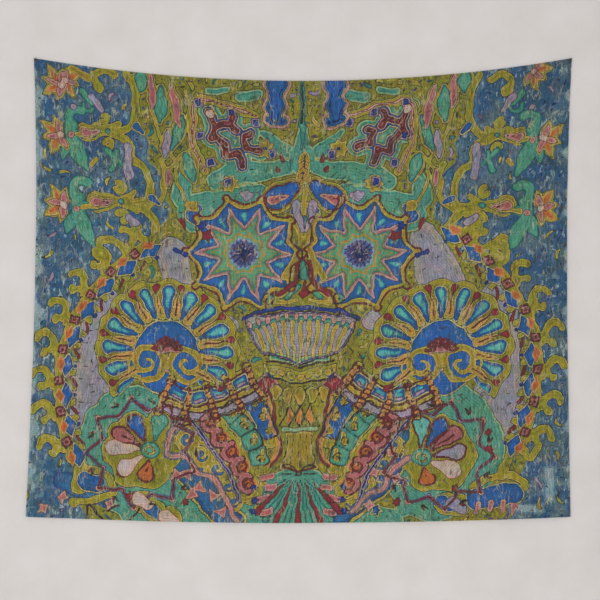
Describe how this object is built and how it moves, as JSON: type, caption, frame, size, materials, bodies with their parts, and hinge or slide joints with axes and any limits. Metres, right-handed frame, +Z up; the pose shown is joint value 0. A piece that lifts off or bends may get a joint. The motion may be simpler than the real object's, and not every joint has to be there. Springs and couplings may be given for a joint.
{
  "type": "tapestry wall hanging",
  "caption": "Landscape printed cloth wall hanging with hemmed edges, pinned flat to a wall by a push pin through each top corner, its top edge sagging.",
  "frame": {"origin": "on the wall's surface, halfway between the two push pins", "axes": "+X to the right along the line of the pins, +Y into the wall, +Z up"},
  "size_m": [1.528, 0.0239, 1.3],
  "materials": {
    "printed_cloth": "plain-woven polyester, dye-sublimation print, soft matt",
    "hem_cloth": "the same cloth folded twice to the back",
    "thread": "spun polyester sewing thread",
    "label_satin": "blank satin label",
    "tack_plastic": "moulded polystyrene",
    "tack_steel": "bright drawn wire"
  },
  "bodies": {
    "pinned_corners": {"left_corner": "printed_cloth", "right_corner": "printed_cloth"},
    "drape": {"cloth_panel": "printed_cloth", "top_hem": "hem_cloth", "bottom_hem": "hem_cloth", "left_hem": "hem_cloth", "right_hem": "hem_cloth", "top_hem_thread": "thread", "bottom_hem_thread": "thread", "left_hem_thread": "thread", "right_hem_thread": "thread", "care_label": "label_satin"},
    "left_tack": {"left_tack_head": "tack_plastic", "left_tack_needle": "tack_steel"},
    "right_tack": {"right_tack_head": "tack_plastic", "right_tack_needle": "tack_steel"}
  },
  "joints": [
    {"name": "drape_lift", "type": "hinge", "parent": "pinned_corners", "child": "drape", "pos_m": [0, -0.0026, -0.009], "axis": [-1, 0, 0], "range_deg": [0, 45]},
    {"name": "left_tack_pull", "type": "slide", "parent": "pinned_corners", "child": "left_tack", "axis": [0, -1, 0], "range_m": [0, 0.014]},
    {"name": "right_tack_pull", "type": "slide", "parent": "pinned_corners", "child": "right_tack", "axis": [0, -1, 0], "range_m": [0, 0.014]}
  ]
}
